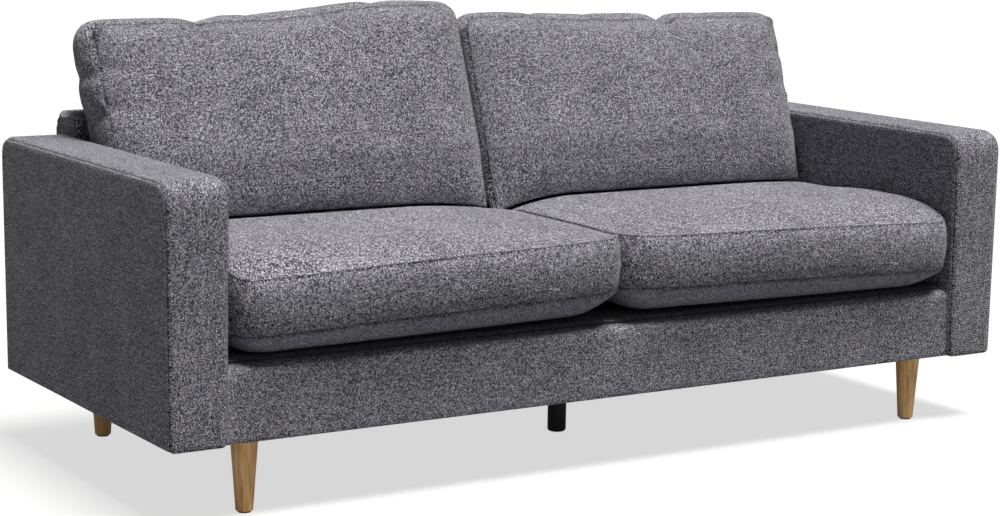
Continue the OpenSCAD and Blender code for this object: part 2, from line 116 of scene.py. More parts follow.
class Look:
    """A material and short ways to add nodes to it."""

    def __init__(self, name, roughness=0.6, **constants):
        self.material = bpy.data.materials.new(name)
        self.material.use_nodes = True
        self.tree = self.material.node_tree
        self.shader = self.tree.nodes["Principled BSDF"]
        self.shader.inputs["Roughness"].default_value = roughness
        for socket, value in constants.items():
            self.shader.inputs[socket.replace("_", " ")].default_value = value

    def node(self, kind, inputs=(), **settings):
        node = self.tree.nodes.new("ShaderNode" + kind)
        for key, value in settings.items():
            setattr(node, key, value)
        for key, value in dict(inputs).items():
            self.feed(node.inputs[key], value)
        return node

    def feed(self, socket, value):
        if isinstance(value, bpy.types.NodeSocket):
            self.tree.links.new(value, socket)
        else:
            socket.default_value = value

    def math(self, operation, *values):
        node = self.node("Math", dict(enumerate(values)), operation=operation)
        return node.outputs[0]

    def vector(self, operation, *values):
        node = self.node("VectorMath", dict(enumerate(values)), operation=operation)
        return node.outputs[0]

    def scaled(self, vector, factors):
        return self.vector("MULTIPLY", vector, factors)

    def noise(self, vector, scale, detail=2.0, roughness=0.5):
        node = self.node(
            "TexNoise", {"Vector": vector, "Scale": scale, "Detail": detail, "Roughness": roughness})
        return node.outputs["Fac"]

    def ramp(self, value, stops):
        node = self.node("ValToRGB", {"Fac": value})
        elements = node.color_ramp.elements
        while len(elements) < len(stops):
            elements.new(0.5)
        for element, (place, colour) in zip(elements, stops):
            element.position = place
            element.color = (*colour, 1)
        return node.outputs["Color"]

    def mix(self, factor, a, b):
        node = self.node("Mix", data_type="RGBA")
        self.feed(node.inputs[0], factor)
        for socket, value in ((node.inputs[6], a), (node.inputs[7], b)):
            self.feed(socket, value if isinstance(value, bpy.types.NodeSocket) else (*value, 1))
        return node.outputs[2]

    def colour(self, value):
        self.feed(self.shader.inputs["Base Color"], value)

    def bump(self, height, distance, strength=1.0):
        node = self.node("Bump", {"Height": height, "Distance": distance, "Strength": strength})
        self.feed(self.shader.inputs["Normal"], node.outputs["Normal"])

    def place(self):
        return self.node("TexCoord").outputs["Object"]


def floor_look():
    """A pale floor, seen nearly white with a light shadow on it, which throws back less light."""
    look = Look("studio_floor", roughness=0.9, Emission_Color=(1, 1, 1, 1))
    seen = look.node("LightPath").outputs["Is Camera Ray"]
    look.colour(look.mix(seen, (0.19, 0.19, 0.195), (0.20, 0.20, 0.20)))
    glow = look.node("MapRange", {"Value": seen, "To Min": 0.09, "To Max": 0.67})
    look.feed(look.shader.inputs["Emission Strength"], glow.outputs[0])
    return look.material


def woven_look(name, shades, yarn, heather=1.0, sheen=0.18):
    """Twill cloth: yarns of random shades, over and under each other in steps along a diagonal."""
    look = Look(name, roughness=0.92, Sheen_Weight=sheen, Sheen_Roughness=0.45, Specular_IOR_Level=0.25)
    weave = look.node("Attribute", attribute_name="weave").outputs["Vector"]
    waver = look.node("TexNoise", {"Vector": weave, "Scale": 35.0, "Detail": 1.0}).outputs["Color"]
    cloth = look.vector("ADD", weave, look.scaled(waver, (0.0016, 0.0016, 0)))
    parts = look.node("SeparateXYZ", {"Vector": look.scaled(cloth, (1 / yarn, 1 / yarn, 0))})
    across, along = parts.outputs["X"], parts.outputs["Y"]
    column, row = look.math("FLOOR", across), look.math("FLOOR", along)
    repeat, warp_steps = 4.0, 1.5
    step = look.math("FLOORED_MODULO", look.math("ADD", column, row), repeat)
    warp_on_top = look.math("LESS_THAN", step, warp_steps)

    def random_shade(u, v, seed):
        spot = look.node("CombineXYZ", {"X": u, "Y": v, "Z": seed}).outputs[0]
        return look.node("TexWhiteNoise", {"Vector": spot}, noise_dimensions="3D").outputs["Value"]

    def slub(yarn_number, run, length, seed):
        """The shade of a stretch of one yarn, with each yarn's stretches starting at its own place."""
        offset = random_shade(yarn_number, 0.0, seed)
        place = look.math("FLOOR", look.math("ADD", look.math("MULTIPLY", run, 1 / length), offset))
        return random_shade(yarn_number, place, seed + 1)

    warp_shade = slub(column, along, 2.2, 1.0)
    weft_shade = slub(row, across, 3.0, 5.0)
    picked = look.node(
        "Mix", {0: warp_on_top, 2: weft_shade, 3: warp_shade}, data_type="FLOAT").outputs[0]
    speck = random_shade(column, row, 9.0)
    speck_share = 0.4
    blended = look.math(
        "ADD", look.math("MULTIPLY", picked, 1 - speck_share), look.math("MULTIPLY", speck, speck_share))
    diagonal = look.math("MULTIPLY", look.math("SUBTRACT", warp_on_top, 0.5), 0.16 * heather)
    cloudy = look.noise(weave, 9.0, 3.0)
    drift = look.math("MULTIPLY", look.math("SUBTRACT", cloudy, 0.5), 0.10)
    streak = look.math("MULTIPLY", look.math("SUBTRACT", slub(row, across, 30.0, 13.0), 0.5), 0.10)
    tone = look.math("ADD", look.math("ADD", blended, diagonal), look.math("ADD", drift, streak))
    seam, seam_shade = look.node("Attribute", attribute_name="seam").outputs["Fac"], 0.75
    dark, middle, light, pale = shades
    yarn_colour = look.ramp(tone, [(0.37, dark), (0.57, middle), (0.70, light), (0.83, pale)])
    # The seam attribute darkens the cloth along its seams, and around the dimples that pinch gathers it is
    # painted shade.
    look.colour(look.mix(look.math("MULTIPLY", seam, seam_shade), yarn_colour, dark))
    round_u = look.math("PINGPONG", across, 0.5)
    round_v = look.math("PINGPONG", along, 0.5)
    height = look.math("ADD", look.math("ADD", round_u, round_v), look.math("MULTIPLY", blended, 0.8))
    look.bump(height, 0.0005, 0.6)
    return look.material


def wood_look(name, shades, grain=(26, 26, 1.6), ring_scale=7.0, roughness=0.5, coat=0.15):
    """Straight-grained wood, with its grain along the local axis of the smallest factor."""
    look = Look(name, roughness=roughness, Coat_Weight=coat, Coat_Roughness=0.35)
    place = look.place()
    bent = look.vector("ADD", place, look.scaled(
        look.node("TexNoise", {"Vector": place, "Scale": 2.4, "Detail": 2.0}).outputs["Color"],
        (0.03, 0.03, 0.03)))
    stretched = look.scaled(bent, grain)
    figure = look.noise(stretched, ring_scale, 4.0, 0.55)
    pores = look.noise(look.scaled(stretched, (9, 9, 5)), 6.0, 2.0, 0.6)
    dark, middle, light = shades
    base = look.ramp(figure, [(0.3, dark), (0.5, middle), (0.7, light)])
    pore_mask = look.node(
        "MapRange", {"Value": pores, "From Min": 0.56, "From Max": 0.7, "To Max": 0.5}).outputs[0]
    look.colour(look.mix(pore_mask, base, [c * 0.45 for c in dark]))
    look.bump(look.math("SUBTRACT", figure, look.math("MULTIPLY", pore_mask, 1.2)), 0.0004, 0.5)
    return look.material


def foam_look(name, dark, light, cell=900.0):
    look = Look(name, roughness=0.95, Subsurface_Weight=0.05)
    cells = look.node("TexVoronoi", {"Vector": look.place(), "Scale": cell}).outputs["Distance"]
    look.colour(look.ramp(cells, [(0.1, light), (0.75, dark)]))
    look.bump(cells, 0.0005, 0.6)
    return look.material


def felt_look(name, dark, light, scale=700.0):
    """Matted fibres, for nonwoven cloth, wadding and felt."""
    look = Look(name, roughness=0.95, Sheen_Weight=0.2)
    fibres = look.noise(look.scaled(look.place(), (1, 0.35, 1)), scale, 3.0, 0.7)
    cross = look.noise(look.scaled(look.place(), (0.35, 1, 1)), scale, 3.0, 0.7)
    mat = look.math("MAXIMUM", fibres, cross)
    look.colour(look.ramp(mat, [(0.4, dark), (0.7, light)]))
    look.bump(mat, 0.0004, 0.6)
    return look.material


def plastic_look(name, dark, light):
    look = Look(name, roughness=0.42)
    grain = look.noise(look.place(), 900.0, 2.0)
    wear = look.noise(look.place(), 30.0, 3.0)
    look.colour(look.ramp(wear, [(0.35, dark), (0.7, light)]))
    look.bump(grain, 0.00015, 0.4)
    return look.material


def metal_look(name, dark, light, roughness=0.32):
    look = Look(name, roughness=roughness, Metallic=1.0)
    brushed = look.noise(look.scaled(look.place(), (1, 1, 6)), 90.0, 3.0)
    look.colour(look.ramp(brushed, [(0.3, dark), (0.7, light)]))
    look.bump(brushed, 0.0001, 0.3)
    return look.material


def board_look(name, dark, light, layers=0.0):
    """Plywood where layers gives its plies for each metre, and otherwise pressed fibre board."""
    look = Look(name, roughness=0.75)
    speckle = look.noise(look.scaled(look.place(), (1, 1, 0.25)), 160.0, 4.0, 0.65)
    if layers:
        ply = look.node(
            "TexWave", {"Vector": look.place(), "Scale": layers, "Distortion": 0.4},
            bands_direction="DIAGONAL").outputs["Fac"]
        speckle = look.math("ADD", look.math("MULTIPLY", speckle, 0.7), look.math("MULTIPLY", ply, 0.3))
    look.colour(look.ramp(speckle, [(0.3, dark), (0.7, light)]))
    look.bump(speckle, 0.0002, 0.4)
    return look.material


def make_looks():
    return {
        "cover_fabric": woven_look("cover_fabric", [
            (0.008, 0.008, 0.013), (0.053, 0.052, 0.070), (0.250, 0.246, 0.295),
            (0.84, 0.83, 0.90)], 0.0009),
        "deck_fabric": woven_look("deck_fabric", [
            (0.02, 0.02, 0.025), (0.06, 0.06, 0.07), (0.10, 0.10, 0.115), (0.16, 0.16, 0.18)], 0.0012),
        "dust_fabric": felt_look("dust_fabric", (0.006, 0.006, 0.007), (0.03, 0.03, 0.032)),
        "foam": foam_look("foam", (0.50, 0.40, 0.20), (0.78, 0.68, 0.42)),
        "filling": felt_look("filling", (0.62, 0.61, 0.58), (0.86, 0.86, 0.84), 300.0),
        "felt": felt_look("felt", (0.16, 0.15, 0.15), (0.42, 0.41, 0.40), 420.0),
        "strap_webbing": woven_look("strap_webbing", [
            (0.01, 0.01, 0.01), (0.03, 0.03, 0.03), (0.06, 0.06, 0.06), (0.30, 0.08, 0.06)], 0.0016),
        "frame_wood": wood_look(
            "frame_wood", [(0.42, 0.27, 0.13), (0.56, 0.39, 0.20), (0.66, 0.49, 0.28)],
            grain=(1.6, 20, 20), roughness=0.7, coat=0.0),
        "plywood": board_look("plywood", (0.40, 0.27, 0.14), (0.62, 0.46, 0.27), layers=60.0),
        "hardboard": board_look("hardboard", (0.19, 0.11, 0.05), (0.31, 0.19, 0.10)),
        "leg_wood": wood_look(
            "leg_wood", [(0.57, 0.285, 0.095), (0.90, 0.51, 0.19), (0.98, 0.70, 0.30)]),
        "leg_plastic": plastic_look("leg_plastic", (0.004, 0.004, 0.005), (0.010, 0.010, 0.011)),
        "glide_plastic": plastic_look("glide_plastic", (0.10, 0.095, 0.09), (0.17, 0.16, 0.15)),
        "spring_steel": metal_look("spring_steel", (0.10, 0.10, 0.11), (0.22, 0.22, 0.23), 0.4),
        "zinc_steel": metal_look("zinc_steel", (0.45, 0.46, 0.48), (0.68, 0.69, 0.70)),
        "zip_tape": woven_look("zip_tape", [
            (0.03, 0.03, 0.036), (0.06, 0.06, 0.07), (0.085, 0.085, 0.1), (0.12, 0.12, 0.14)], 0.0007),
        "zip_metal": metal_look("zip_metal", (0.24, 0.24, 0.25), (0.46, 0.46, 0.47)),
    }


# ---- Mesh helpers ----

def spaced(length, step, ends=(0.0015, 0.006, 0.014)):
    """Places from -length / 2 to length / 2, closer together towards both ends."""
    near = [0.0] + [e for e in ends if e < length / 2 - step / 4]
    count = max(1, round((length - 2 * near[-1]) / step))
    middle = np.linspace(near[-1], length - near[-1], count + 1)
    return np.concatenate([near[:-1], middle, length - np.array(near[:-1][::-1])]) - length / 2


def soft_step(x):
    x = np.clip(x, 0, 1)
    return x * x * (3 - 2 * x)


def hump(x, centre, width):
    return np.exp(-((x - centre) / width) ** 2)


class Skin:
    """A closed mesh made of grids of points, with the cloth's own coordinates on each face corner."""

    def __init__(self):
        self.points, self.faces, self.weaves, self.seams = [], [], [], []
        self.count = 0

    def grid(self, points, weave, seam, flip=False):
        """points and weave are (rows, columns, 3 or 2), and seam is (rows, columns)."""
        rows, columns = points.shape[:2]
        index = self.count + np.arange(rows * columns).reshape(rows, columns)
        corners = np.stack([index[:-1, :-1], index[:-1, 1:], index[1:, 1:], index[1:, :-1]], -1)
        cloth = np.stack([weave[:-1, :-1], weave[:-1, 1:], weave[1:, 1:], weave[1:, :-1]], -2)
        if flip:
            corners, cloth = corners[..., ::-1], cloth[..., ::-1, :]
        self.points.append(points.reshape(-1, 3))
        self.seams.append(np.broadcast_to(seam, (rows, columns)).reshape(-1))
        self.faces.append(corners.reshape(-1, 4))
        self.weaves.append(cloth.reshape(-1, 4, 2))
        self.count += rows * columns

    def build(self, name, look):
        points, seams = np.concatenate(self.points), np.concatenate(self.seams)
        faces, weaves = np.concatenate(self.faces), np.concatenate(self.weaves)
        same_place = 1e-6
        keys = np.round(points / same_place).astype(np.int64)
        _, first, where = np.unique(keys, axis=0, return_index=True, return_inverse=True)
        where = where.reshape(-1)
        faces = where[faces]
        seam = np.zeros(len(first))
        np.maximum.at(seam, where, seams)
        rings, cloth = [], []
        for face, weave in zip(faces.tolist(), weaves.tolist()):    # drops corners that fall together
            kept = [k for k in range(4) if face[k] != face[k - 1]]
            if len(kept) > 2:
                rings.append([face[k] for k in kept])
                cloth.extend(weave[k] for k in kept)
        mesh = bpy.data.meshes.new(name)
        mesh.from_pydata(points[first].tolist(), [], rings)
        cloth = np.array(cloth)
        layer = mesh.attributes.new("weave", "FLOAT_VECTOR", "CORNER")
        layer.data.foreach_set("vector", np.c_[cloth, np.zeros(len(cloth))].ravel())
        mesh.attributes.new("seam", "FLOAT", "POINT").data.foreach_set("value", seam)
        mesh.materials.append(look)
        mesh.shade_smooth()
        piece = bpy.data.objects.new(name, mesh)
        bpy.context.scene.collection.objects.link(piece)
        return piece


def places_of(mesh):
    co = np.empty(len(mesh.vertices) * 3)
    mesh.vertices.foreach_get("co", co)
    return co.reshape(-1, 3)


def set_places(mesh, points):
    mesh.vertices.foreach_set("co", points.ravel())
    mesh.update()


def normals_of(mesh):
    normals = np.empty(len(mesh.vertices) * 3)
    mesh.vertex_normals.foreach_get("vector", normals)
    return normals.reshape(-1, 3)


def seams_of(mesh):
    seam = np.empty(len(mesh.vertices))
    mesh.attributes["seam"].data.foreach_get("value", seam)
    return seam


def sink_seams(piece, depth=SEAM_DEPTH):
    """Draws each seam into the surface, so that it shows as a groove."""
    mesh = piece.data
    set_places(mesh, places_of(mesh) - normals_of(mesh) * (seams_of(mesh) * depth)[:, None])


def pinch(piece, place, radius, depth):
    """Gathers the cloth into a dimple, as where the seams of a corner meet, and darkens the cloth around
    it as painted shade, through the seam attribute.
    """
    mesh, dimple_shade_share, least = piece.data, 0.45, 0.05
    points, seam = places_of(mesh), seams_of(mesh)
    near = np.exp(-(np.linalg.norm(points - place, axis=1) / radius) ** 2)
    set_places(mesh, points - normals_of(mesh) * (near * depth)[:, None])
    # painted shade: the cloth's colour is darkened around the dimple, written into the seam attribute that
    # also darkens seams
    painted_dimple_shade = dimple_shade_share * near * (near > least)
    mesh.attributes["seam"].data.foreach_set("value", np.maximum(seam, painted_dimple_shade))


def subdivide(piece):
    bpy.context.view_layer.update()
    piece.modifiers.new("smooth", "SUBSURF").levels = 1
    graph = bpy.context.evaluated_depsgraph_get()
    smooth = bpy.data.meshes.new_from_object(
        piece.evaluated_get(graph), preserve_all_data_layers=True, depsgraph=graph)
    piece.modifiers.clear()
    rough, piece.data = piece.data, smooth
    bpy.data.meshes.remove(rough)


def inflate(piece, pressure, cap, shrink=0.02, frames=20):
    """Swells a piece with Blender's cloth and draws its seams tight. No point moves further than cap."""
    start = places_of(piece.data)
    group = piece.vertex_groups.new(name="seams")
    seam = seams_of(piece.data)
    for index in np.flatnonzero(seam > 0.2).tolist():
        group.add([index], float(seam[index]), "REPLACE")
    cloth = piece.modifiers.new("cloth", "CLOTH")
    settings = cloth.settings
    settings.quality = 4
    settings.mass = 0.4
    settings.tension_stiffness = settings.compression_stiffness = 25
    settings.bending_stiffness = 1.5
    settings.use_pressure = True
    settings.uniform_pressure_force = pressure
    settings.effector_weights.gravity = 0
    settings.vertex_group_shrink = "seams"
    settings.shrink_min, settings.shrink_max = 0.0, shrink
    cloth.point_cache.frame_start, cloth.point_cache.frame_end = 1, frames
    scene = bpy.context.scene
    for step in range(1, frames + 1):
        scene.frame_set(step)
    graph = bpy.context.evaluated_depsgraph_get()
    moved = places_of(piece.evaluated_get(graph).data) - start
    length = np.linalg.norm(moved, axis=1, keepdims=True)
    piece.modifiers.remove(cloth)
    piece.vertex_groups.clear()
    scene.frame_set(1)
    set_places(piece.data, start + moved * (cap / (cap + length)))


# ---- Boxed forms: two panels with a boxing between them ----

class Boxed:
    """Two rounded panels, at z = -half[2] and z = half[2] along their seams, and the boxing around them.

    rise(x, y, side) is how far a panel stands out from its seams, and bulge(x, y, t) how far the boxing
    stands out, where t goes from -1 to 1 between the seams. corner gives the plan's corner radii at low
    and high y. warp turns an array of points into places in the frame. turned lays the panels' cloth with
    its weft along y. join is the y of a seam straight across the boxing at the low x. extra_rows are
    heights of more lines around the boxing, and extra_columns more places along x."""

    def __init__(self, half, corner, rise, bulge, warp, step=MAIN_STEP, extra_rows=(), extra_columns=(),
                 turned=False, join=None):
        self.half, self.corner = half, corner
        self.rise, self.bulge, self.warp = rise, bulge, warp
        self.turned, self.join = turned, join
        self.xs = np.unique(np.concatenate([spaced(2 * half[0], step), np.array(extra_columns)]))
        joins = [] if join is None else [join - 0.002, join, join + 0.002]
        self.ys = np.unique(np.concatenate([spaced(2 * half[1], step), np.array(joins)]))
        self.ts = np.unique(np.concatenate([spaced(2 * half[2], step), np.array(extra_rows)])) / half[2]

    def plan(self, x, y):
        """Rounds the corners of the rectangle that x and y fill."""
        low, high = self.corner
        r = np.where(y < 0, low, high)
        p = np.clip((np.abs(x) - (self.half[0] - r)) / r, 0, 1)
        q = np.clip((np.abs(y) - (self.half[1] - r)) / r, 0, 1)
        px = np.minimum(np.abs(x), self.half[0] - r) + r * p * np.sqrt(1 - q * q / 2)
        py = np.minimum(np.abs(y), self.half[1] - r) + r * q * np.sqrt(1 - p * p / 2)
        return np.sign(x) * px, np.sign(y) * py

    def edge(self):
        """The places around the plan's edge, as x, y, the outward direction and the length so far."""
        xs, ys = self.xs, self.ys
        x = np.concatenate([xs[:-1], np.full(len(ys) - 1, xs[-1]), xs[:0:-1], np.full(len(ys), xs[0])])
        across = len(xs) - 1
        y = np.concatenate([np.full(across, ys[0]), ys[:-1], np.full(across, ys[-1]), ys[::-1]])
        px, py = self.plan(x, y)
        ahead = np.roll(np.c_[px, py][:-1], -1, axis=0) - np.roll(np.c_[px, py][:-1], 1, axis=0)
        ahead = np.r_[ahead, ahead[:1]]
        out = np.c_[ahead[:, 1], -ahead[:, 0]] / np.linalg.norm(ahead, axis=1, keepdims=True)
        run = np.concatenate([[0], np.cumsum(np.hypot(np.diff(px), np.diff(py)))])
        return x, y, px, py, out, run

    def skin(self):
        skin = Skin()
        x, y = np.meshgrid(self.xs, self.ys, indexing="ij")
        px, py = self.plan(x, y)
        inset = np.minimum(self.half[0] - np.abs(x), self.half[1] - np.abs(y))
        near_seam = np.where(inset < 1e-6, 1.0, np.where(inset < 0.002, 0.25, 0.0))
        for side in (-1, 1):
            risen = self.rise(x, y, side) * (inset > 1e-6)
            z = side * (self.half[2] + risen)
            points = self.warp(np.stack([px, py, z], -1).reshape(-1, 3)).reshape(*x.shape, 3)
            cloth = [px * (1 - risen / self.half[0]), py * (1 - risen / self.half[1])]
            if self.turned:
                cloth = [cloth[1] * (LONG_WEFT if side > 0 else 1), cloth[0]]
            skin.grid(points, np.stack(cloth, -1) + side * 0.37, near_seam, flip=side < 0)
        x, y, px, py, out, run = self.edge()
        t = self.ts[:, None]
        depth = self.half[2] * (1 - np.abs(t))
        swell = self.bulge(x[None], y[None], t) * (depth > 1e-6)
        points = np.stack([
            px + out[:, 0] * swell, py + out[:, 1] * swell,
            np.broadcast_to(t * self.half[2], swell.shape)], -1)
        shape = points.shape
        points = self.warp(points.reshape(-1, 3)).reshape(shape)
        weave = np.stack(np.broadcast_arrays(run[None] + 1.3, t * self.half[2]), -1)
        seam = np.where(depth < 1e-6, 1.0, np.where(depth < 0.002, 0.25, 0.0))
        if self.join is not None:
            crossed = (np.abs(y - self.join) < 1e-5) & (x < 0)
            seam = np.maximum(seam, np.where(crossed[None], 0.6, 0.0))
        skin.grid(points, weave, seam)
        return skin


def ease(depth, reach, power=2.2):
    """From 0 at an edge to 1 at reach from it, steep at first."""
    return 1 - (1 - np.clip(depth / reach, 0, 1)) ** power


def mid(low, high):
    return [(a + b) / 2 for a, b in zip(low, high)]


# ---- Zips ----

ZIP_SLOT = (0.250, 0.012, 0.0047)      # half its length, half its height, and its depth
ZIP_TAPE = 0.001                       # the tape's thickness


def in_zip_slot(x, z):
    return (np.abs(x) < ZIP_SLOT[0]) & (np.abs(z) < ZIP_SLOT[1])


def slot_lines(reach):
    """Where lines of a mesh run, just inside and outside both edges of the slot."""
    return [side * (reach + gap) for side in (-1, 1) for gap in (-0.0006, 0.0006)]


def make_zip(name, body, leaning, looks):
    """A woven tape with two rows of teeth that mesh along its middle, for the CAD model's plain zip."""
    points = places_of(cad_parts[name].data)
    sin, cos = (math.sin(CUSHION_LEAN), math.cos(CUSHION_LEAN)) if leaning else (-1.0, 0.0)
    outward, across = np.array([0, -sin, -cos]), np.array([0, -cos, sin])
    out, wide = points @ outward, points @ across
    middle, x0, x1 = (wide.min() + wide.max()) / 2, points[:, 0].min(), points[:, 0].max()
    tape_out = out.min() + ZIP_TAPE

    def solid(skin, xs, w, o):
        """A bar through the places xs, from w[0] to w[1] across the tape and o[0] to o[1] outwards."""
        corner = np.array([[[
            np.array([x, 0, 0]) + across * (middle + b) + outward * c
            for c in o] for b in w] for x in xs])
        for face, flip in (
                (corner[0], False), (corner[-1], True), (corner[:, 0], True), (corner[:, 1], False),
                (corner[:, :, 0], False), (corner[:, :, 1], True)):
            weave = np.stack([face[..., 0], face @ across], -1)
            skin.grid(face, weave, np.zeros(face.shape[:2]), flip=flip)

    tape, teeth = Skin(), Skin()
    reach = (wide.min() - middle, wide.max() - middle)
    solid(tape, np.linspace(x0, x1, 51), reach, (out.min(), tape_out))
    pitch, half_tooth, root, tip = 0.0028, 0.0009, 0.0029, -0.0006
    for number in range(int((x1 - x0) / pitch)):
        x, row = x0 + (number + 0.5) * pitch, 1 if number % 2 else -1
        tooth = sorted((row * root, row * tip))
        solid(teeth, (x - half_tooth, x + half_tooth), tooth, (tape_out, out.max()))
    for skin, suffix, slot in ((tape, "_tape", "zip_tape"), (teeth, "_teeth", "zip_metal")):
        piece = skin.build(name + suffix, looks[slot])
        piece.data.shade_flat()
        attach(piece, body)
        if skin is tape:
            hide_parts(name)


# ---- Seat cushions ----

SEAT_TOP = 0.466        # its seams' heights along the rear, which is even
SEAT_LOW = 0.360
SEAT_RIDGE = 0.490      # the top seams' height along the ends and the middle
SEAT_CROWN = 0.011      # how far the top panel stands above its seams at most
SEAT_BELLY = 0.054      # and the low panel below its own
SEAT_FRONT = 0.484      # the top seam's height along the front, at the gap
SEAT_LOW_FRONT = 0.361  # the low seam's height in the middle of the front


def seat_crown(dx, dy):
    """How far the top panel stands above its seams, at distances from its ends and its front and rear."""
    edge, middle = ease(dx, 0.05) * ease(dy, 0.05), ease(dx, 0.24) * ease(dy, 0.18)
    return SEAT_CROWN * (0.45 * edge + 0.55 * middle)


def seat_heights(side, inner, v):
    """Heights of a seat cushion's top and low seams.

    inner goes from -1 at the arm to 1 at the gap, and v from -1 at the front to 1 at the rear."""
    arm_drop, gap_drop, arm_swell = 0.025, 0.010 if side < 0 else 0.024, 0.012
    to_arm = (1 - inner) / 2
    front = SEAT_FRONT - arm_drop * to_arm ** 2.2
    back = soft_step((v - 0.72 + 0.14 * np.abs(inner) ** 6) / 0.28)
    risen = ease(1 + v, 0.62, 1.7)
    top = (front + (SEAT_RIDGE - front) * risen) * (1 - back) + SEAT_TOP * back
    at_gap = np.clip(1 - (1 - inner) * 2.2, 0, 1) ** 1.3
    top = top - gap_drop * at_gap * soft_step((v - 0.35) / 0.3)
    top = top + arm_swell * to_arm ** 4 * soft_step((1 + v) / 0.3) * (1 - soft_step((v + 0.1) / 0.6))
    low = (SEAT_LOW_FRONT + 0.011 * inner) * (1 - back) + SEAT_LOW * back
    return top, low


def seat_surface(side, x, y):
    """Height of a seat cushion's top under a place, and whether the place is over the cushion."""
    low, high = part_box(("left" if side < 0 else "right") + "_seat_cover")
    dx, dy = np.minimum(x - low[0], high[0] - x), np.minimum(y - low[1], high[1] - y)
    u = 1 - 2 * np.clip(dx, 0, None) / (high[0] - low[0])
    u = np.where(x < (low[0] + high[0]) / 2, -u, u)
    v = np.clip((y - low[1]) / (high[1] - low[1]) * 2 - 1, -1, 1)
    top, _ = seat_heights(side, -side * u, v)
    return top + seat_crown(np.maximum(dx, 0), np.maximum(dy, 0)), dy > 0


def seat_cushion(side, looks):
    name = "left" if side < 0 else "right"
    low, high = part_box(name + "_seat_cover")
    centre = mid(low, high)
    deck = low[2]
    half = ((high[0] - low[0]) / 2, (high[1] - low[1]) / 2 - 0.010, (SEAT_TOP - SEAT_LOW) / 2)
    mean_z = (SEAT_TOP + SEAT_LOW) / 2
    zip_z = centre[2] - mean_z
    swell, corner_tuck, end_tuck = 0.008, 0.016 if side < 0 else 0.001, 0.004

    def rise(x, y, face):
        dx, dy = half[0] - np.abs(x), half[1] - np.abs(y)
        if face > 0:
            return seat_crown(dx, dy)
        deep = SEAT_BELLY - 0.006 * side * x / half[0] * (y < 0)
        return deep * (ease(dx, 0.10) * ease(dy, 0.10)) ** 0.75

    def bulge(x, y, t):
        in_slot = in_zip_slot(x, t * half[2] - zip_z) & (y > 0)
        return np.where(in_slot, swell - ZIP_SLOT[2], swell * (1 - t * t) ** 0.8 * np.ones_like(x))

    def warp(points):
        x, y, z = points.T
        u, v = np.clip(x / half[0], -1, 1), np.clip(y / half[1], -1, 1)
        upper = np.clip(z / half[2], -1, 1) * 0.5 + 0.5
        top, bottom = seat_heights(side, -side * u, v)
        lift = upper * (top - SEAT_TOP) + (1 - upper) * (bottom - SEAT_LOW)
        front = soft_step(-v * 1.2)
        bow = 0.0045 - 0.011 * np.abs(u) ** 3
        place_z = np.maximum(mean_z + z + lift, deck)
        at_arm = np.clip(side * u, 0, 1)
        tuck = corner_tuck * at_arm ** 6 * soft_step((-v - 0.6) / 0.4) + end_tuck * at_arm
        tuck = tuck * (1.2 - 0.6 * upper)
        return np.stack([centre[0] + x - side * tuck, centre[1] + y - bow * front, place_z], -1)

    form = Boxed(
        half, (0.042, 0.030), rise, bulge, warp, turned=True,
        extra_rows=[zip_z + k for k in slot_lines(ZIP_SLOT[1])], extra_columns=slot_lines(ZIP_SLOT[0]))
    piece = form.skin().build(name + "_seat_cushion_cover", looks["cover_fabric"])
    inflate(piece, 1.2, 0.005, shrink=0.015)
    sink_seams(piece, CUSHION_SEAM_DEPTH)
    subdivide(piece)
    points = places_of(piece.data)
    points[:, 2] = np.maximum(points[:, 2], deck)
    set_places(piece.data, points)
    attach(piece, name + "_seat_cushion")
    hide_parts(name + "_seat_cover", name + "_seat_core")


# ---- Back cushions ----

def back_face(z):
    """Y of the leaning front face of the sofa's back at a height."""
    low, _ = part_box("back_cover")
    return low[1] + (z - low[2]) * math.tan(FRAME_LEAN)


def back_top(side, u):
    """How far a back cushion's top seam stands above an even one, with a dip where the filling sank."""
    if side < 0:
        return -0.009 + 0.028 * soft_step((u + 0.2) / 0.9) - 0.006 * hump(u, -0.47, 0.045)
    return -0.026 + 0.014 * (1 - soft_step((u + 0.9) / 0.7)) - 0.014 * hump(u, 0.27, 0.055)


